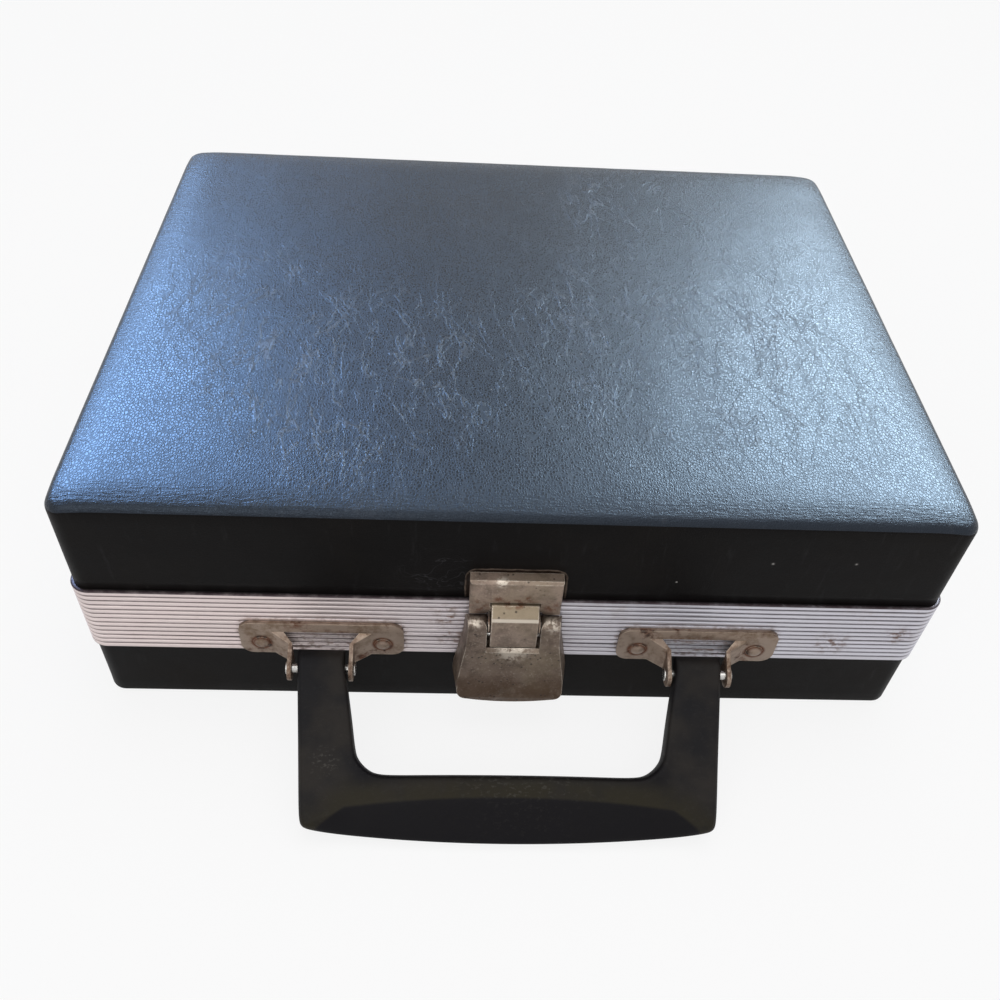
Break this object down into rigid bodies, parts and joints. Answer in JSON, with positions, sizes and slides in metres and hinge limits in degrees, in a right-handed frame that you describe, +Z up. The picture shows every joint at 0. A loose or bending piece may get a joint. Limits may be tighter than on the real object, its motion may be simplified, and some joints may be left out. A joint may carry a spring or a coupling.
{
  "type": "cassette tape case",
  "caption": "Flat covered carrying case with a hinged lid, ribbed metal rim band, pull-down latch, bracketed swing handle and a slotted tray for boxed tapes.",
  "frame": {"origin": "centre of the base's underside, on the surface the case lies on", "axes": "+X to the right seen from the latch side, -Y towards the latch and handle, +Z up"},
  "size_m": [0.3044, 0.3053, 0.103],
  "materials": {
    "leathercloth": "black grained leathercloth, slightly glossy, worn",
    "plywood": "bare plywood",
    "band_metal": "ribbed, light, with dark grooves and brown stains",
    "tray_plastic": "black moulded tray",
    "latch_metal": "worn cast latch metal with dark pits",
    "bracket_metal": "steel with brown rust",
    "pin_steel": "bright steel pins and rivets",
    "handle_plastic": "black moulded handle, scuffed",
    "lining_paper": "thin dark lining sheet",
    "foam": "soft dark foam"
  },
  "bodies": {
    "base": {"base_shell": "plywood", "base_side_cover": "leathercloth", "base_bottom_cover": "leathercloth", "rim_band": "band_metal", "cassette_tray": "tray_plastic", "tray_dividers": "tray_plastic", "handle_bracket_left": "bracket_metal", "handle_bracket_right": "bracket_metal", "bracket_rivets": "bracket_metal", "handle_pin_left": "pin_steel", "handle_pin_right": "pin_steel", "latch_base_plate": "latch_metal", "latch_plate_rivets": "pin_steel", "latch_pivot_left": "pin_steel", "latch_pivot_right": "pin_steel", "hinge_base_leaf_left": "bracket_metal", "hinge_base_leaf_right": "bracket_metal", "hinge_pin_left": "pin_steel", "hinge_pin_right": "pin_steel", "hinge_base_rivets": "pin_steel"},
    "lid": {"lid_shell": "plywood", "lid_padding": "foam", "lid_cover": "leathercloth", "lid_lining": "lining_paper", "lid_foam_pad": "foam", "latch_keeper": "latch_metal", "keeper_rivets": "pin_steel", "hinge_lid_leaf_left": "bracket_metal", "hinge_lid_leaf_right": "bracket_metal", "hinge_lid_rivets": "pin_steel"},
    "latch_lever": {"latch_lever": "latch_metal", "claw_pin": "pin_steel"},
    "latch_claw": {"latch_claw": "latch_metal"},
    "handle": {"handle_grip": "handle_plastic"}
  },
  "joints": [
    {"name": "lid_hinge", "type": "hinge", "parent": "base", "child": "lid", "pos_m": [0, 0.122, 0.0617], "axis": [-1, 0, 0], "range_deg": [0, 104]},
    {"name": "latch_lever_pivot", "type": "hinge", "parent": "base", "child": "latch_lever", "pos_m": [0, -0.1232, 0.0539], "axis": [-1, 0, 0], "range_deg": [0, 75]},
    {"name": "latch_claw_pivot", "type": "hinge", "parent": "latch_lever", "child": "latch_claw", "pos_m": [0, -0.1238, 0.049], "axis": [-1, 0, 0], "range_deg": [-86.25, 0]},
    {"name": "handle_pivot", "type": "hinge", "parent": "base", "child": "handle", "pos_m": [0, -0.1287, 0.033], "axis": [-1, 0, 0], "range_deg": [-60, 91]}
  ],
  "couplings": [
    {"joint": "latch_claw_pivot", "follows": "latch_lever_pivot", "ratio": -1.15}
  ]
}
